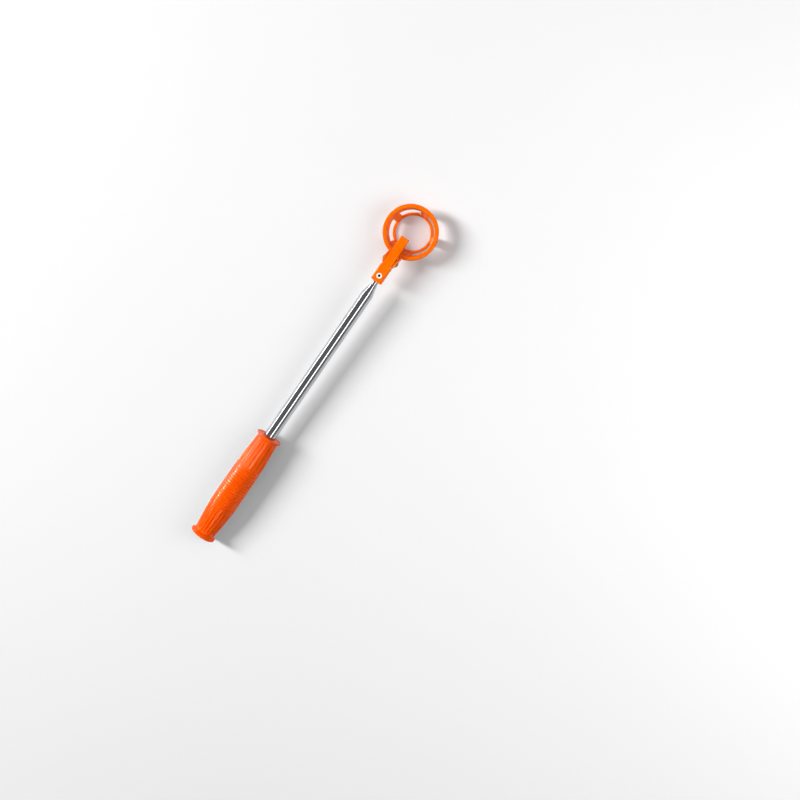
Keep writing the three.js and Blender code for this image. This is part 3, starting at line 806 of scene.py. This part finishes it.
# The camera stands to the right of the retriever and looks slightly across it, from far above.
CAMERA_PLACE = Vector((0.293, -0.274, 2.0662))
CAMERA_AIM = Vector((0.03225, -0.09623, 0.0))
CAMERA_TURN = math.radians(-54.45)
CAMERA_LENS = 82.8
FORWARD = (CAMERA_AIM - CAMERA_PLACE).normalized()
LEVEL = Vector((math.cos(CAMERA_TURN), math.sin(CAMERA_TURN), 0))
RIGHT = (LEVEL - FORWARD * LEVEL.dot(FORWARD)).normalized()


def make_camera():
    data = bpy.data.cameras.new("camera")
    data.sensor_width = 36.0
    data.lens = CAMERA_LENS
    camera = bpy.data.objects.new("camera", data)
    axes = Matrix((RIGHT, RIGHT.cross(FORWARD), -FORWARD)).transposed()
    camera.matrix_world = Matrix.Translation(CAMERA_PLACE) @ axes.to_4x4()
    bpy.context.collection.objects.link(camera)
    bpy.context.scene.camera = camera


def softbox(name, azimuth, elevation, distance, size, radiance, shows, aim=(0, 0, 0), pieces=None):
    """A rectangular lamp. Its direction is seen from the aim point, in degrees; size is (across, along the
    pole) in metres; shows names the rays that meet it, "matt" or "gloss"; a collection of pieces keeps
    the lamp to those alone."""
    rise, turn = math.radians(elevation), math.radians(azimuth)
    where = Vector((math.cos(turn) * math.cos(rise), math.sin(turn) * math.cos(rise), math.sin(rise)))
    data = bpy.data.lights.new(name, "AREA")
    data.shape = "RECTANGLE"
    data.size, data.size_y = size
    data.energy = radiance * math.pi * size[0] * size[1]
    lamp = bpy.data.objects.new(name, data)
    up = Vector((1, 0, 0)) - where * where.x
    axes = Matrix((up.cross(where), up, where)).transposed()
    axes.normalize()
    lamp.matrix_world = Matrix.Translation(Vector(aim) + where * distance) @ axes.to_4x4()
    lamp.visible_camera = False
    lamp.visible_diffuse = shows == "matt"
    lamp.visible_glossy = shows == "gloss"
    lamp.light_linking.receiver_collection = pieces
    bpy.context.collection.objects.link(lamp)


def make_lights():
    softbox("key_softbox", 103.5, 39, 3.4, (1.62, 0.7), 47.5, "matt")
    softbox("overhead", 20, 68, 2.6, (2.0, 2.0), 1.15, "matt")
    softbox("floor_lamp", -54, 66, 0.8, (0.8, 0.8), 4.1, "matt", (0.3, -0.64, 0))
    softbox("key_strip", 90, 18, 1.6, (0.08, 1.6), 16.0, "gloss")
    softbox("plastic_strip", 90, 19, 1.6, (0.08, 1.6), 400.0, "gloss", pieces=PLASTIC_PIECES)
    softbox("side_softbox", 90, 19, 1.6, (0.26, 2.4), 2.6, "gloss")
    softbox("top_strip", -90, 62, 1.6, (0.34, 2.0), 4.2, "gloss")
    world = bpy.data.worlds.new("studio")
    world.use_nodes = True
    tree = world.node_tree
    direction = tree.nodes.new("ShaderNodeTexCoord")
    split = tree.nodes.new("ShaderNodeSeparateXYZ")
    ramp = tree.nodes.new("ShaderNodeMapRange")
    ramp.interpolation_type = "SMOOTHSTEP"
    for socket, value in (("From Min", 0.05), ("From Max", 0.6), ("To Min", 0.48), ("To Max", 0.16)):
        ramp.inputs[socket].default_value = value
    tree.links.new(direction.outputs["Generated"], split.inputs[0])
    tree.links.new(split.outputs["Z"], ramp.inputs["Value"])
    tree.links.new(ramp.outputs["Result"], tree.nodes["Background"].inputs["Strength"])
    tree.nodes["Background"].inputs["Color"].default_value = (1, 1, 1, 1)
    bpy.context.scene.world = world
    bpy.context.scene.view_settings.view_transform = "Standard"


make_camera()
make_lights()
make_floor()
make_grip()
make_end_cap()
make_bottom_stop()
for number in range(1, SECTIONS):
    make_section(number)
make_tip_section()
for number in range(2, SECTIONS + 1):
    make_sleeve(number)
make_head_arm()
make_rivet()
make_pin()
make_spring()
make_scoop()
